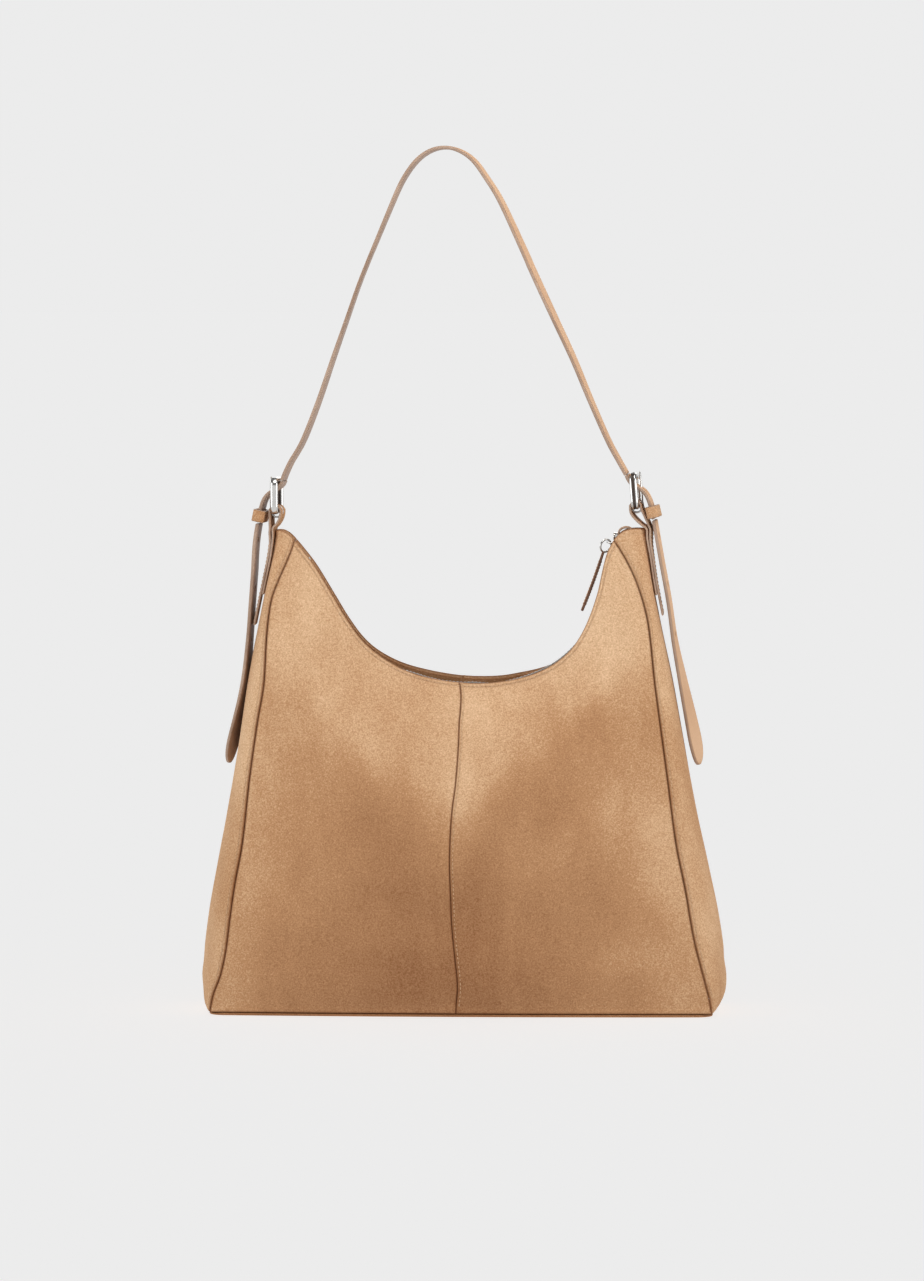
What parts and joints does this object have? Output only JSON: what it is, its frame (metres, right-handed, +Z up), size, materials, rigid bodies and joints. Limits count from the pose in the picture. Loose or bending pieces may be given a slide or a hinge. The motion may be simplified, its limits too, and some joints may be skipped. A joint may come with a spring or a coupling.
{
  "type": "shoulder bag",
  "caption": "Soft hobo shoulder bag of suede leather: wedge body, deep U mouth closed by a metal zip, one long strap held by buckles at the horns, tails hanging at the sides.",
  "frame": {"origin": "middle of the footprint on the ground, under the middle of the bounding box", "axes": "+Z up to the top of the strap, the front faces -Y, the width runs along X with the zip's closed end (slider at rest) towards +X"},
  "size_m": [0.4008, 0.1204, 0.6458],
  "materials": {
    "suede": "soft matt suede nap, sand brown",
    "lining_cloth": "plain woven cotton twill",
    "board": "stiffener board",
    "nickel": "polished nickel",
    "zip_tape": "woven polyester tape"
  },
  "bodies": {
    "bag": {"front_panel_left": "suede", "front_panel_right": "suede", "back_panel_left": "suede", "back_panel_right": "suede", "left_gusset": "suede", "right_gusset": "suede", "base_panel": "suede", "base_board": "board", "back_facing": "suede", "front_lining": "lining_cloth", "back_lining": "lining_cloth", "left_gusset_lining": "lining_cloth", "right_gusset_lining": "lining_cloth", "inner_pocket": "lining_cloth", "zip_tape_back": "zip_tape", "zip_teeth_back": "nickel", "zip_bottom_stop": "nickel", "zip_end_tab_left": "suede", "zip_end_tab_right": "suede", "strap_end_left": "suede", "strap_end_right": "suede", "left_tab": "suede", "right_tab": "suede", "left_keeper": "suede", "right_keeper": "suede"},
    "front_mouth": {"front_facing": "suede", "zip_tape_front": "zip_tape", "zip_teeth_front": "nickel"},
    "slider": {"zip_slider": "nickel"},
    "pull_ring": {"zip_pull_ring": "nickel"},
    "pull_tab": {"zip_pull_tab": "suede"},
    "strap": {"strap": "suede", "left_buckle_frame": "nickel", "right_buckle_frame": "nickel"},
    "left_prong": {"left_prong": "nickel"},
    "right_prong": {"right_prong": "nickel"},
    "left_tail": {"left_tail": "suede"},
    "right_tail": {"right_tail": "suede"}
  },
  "joints": [
    {"name": "zip_slider", "type": "hinge", "parent": "bag", "child": "slider", "pos_m": [0.0025, 0, 0.358], "axis": [0, 1, 0], "range_deg": [0, 161]},
    {"name": "mouth_opening", "type": "hinge", "parent": "bag", "child": "front_mouth", "pos_m": [0, -0.008, 0.349], "axis": [-1, 0, 0], "range_deg": [0, 10], "deforming": ["front_panel_left", "front_panel_right"]},
    {"name": "pull_ring_swing", "type": "hinge", "parent": "slider", "child": "pull_ring", "pos_m": [0.10776, 0, 0.35134], "axis": [0, 1, 0], "range_deg": [0, 125]},
    {"name": "pull_tab_slide", "type": "hinge", "parent": "pull_ring", "child": "pull_tab", "pos_m": [0.10678, 0, 0.34862], "axis": [0, 1, 0], "range_deg": [0, 25]},
    {"name": "strap_swing", "type": "hinge", "parent": "bag", "child": "strap", "pos_m": [-0.0048, 0, 0.37585], "axis": [0.9999, 0, 0.0145], "range_deg": [-60, 60], "deforming": ["left_tab", "right_tab", "strap_end_left", "strap_end_right"]},
    {"name": "left_prong_play", "type": "hinge", "parent": "strap", "child": "left_prong", "pos_m": [-0.1397, 0, 0.3739], "axis": [-0.0872, -0.9962, 0], "range_deg": [0, 8]},
    {"name": "right_prong_play", "type": "hinge", "parent": "strap", "child": "right_prong", "pos_m": [0.1301, 0, 0.3778], "axis": [0.0872, 0.9962, 0], "range_deg": [0, 8]},
    {"name": "left_tail_swing", "type": "hinge", "parent": "bag", "child": "left_tail", "pos_m": [-0.1528, 0, 0.3655], "axis": [0.0872, 0.9962, 0], "range_deg": [0, 60]},
    {"name": "right_tail_swing", "type": "hinge", "parent": "bag", "child": "right_tail", "pos_m": [0.1434, 0, 0.3686], "axis": [-0.0872, -0.9962, 0], "range_deg": [0, 60]}
  ],
  "couplings": [
    {"joint": "mouth_opening", "follows": "zip_slider", "ratio": 0.062111}
  ]
}
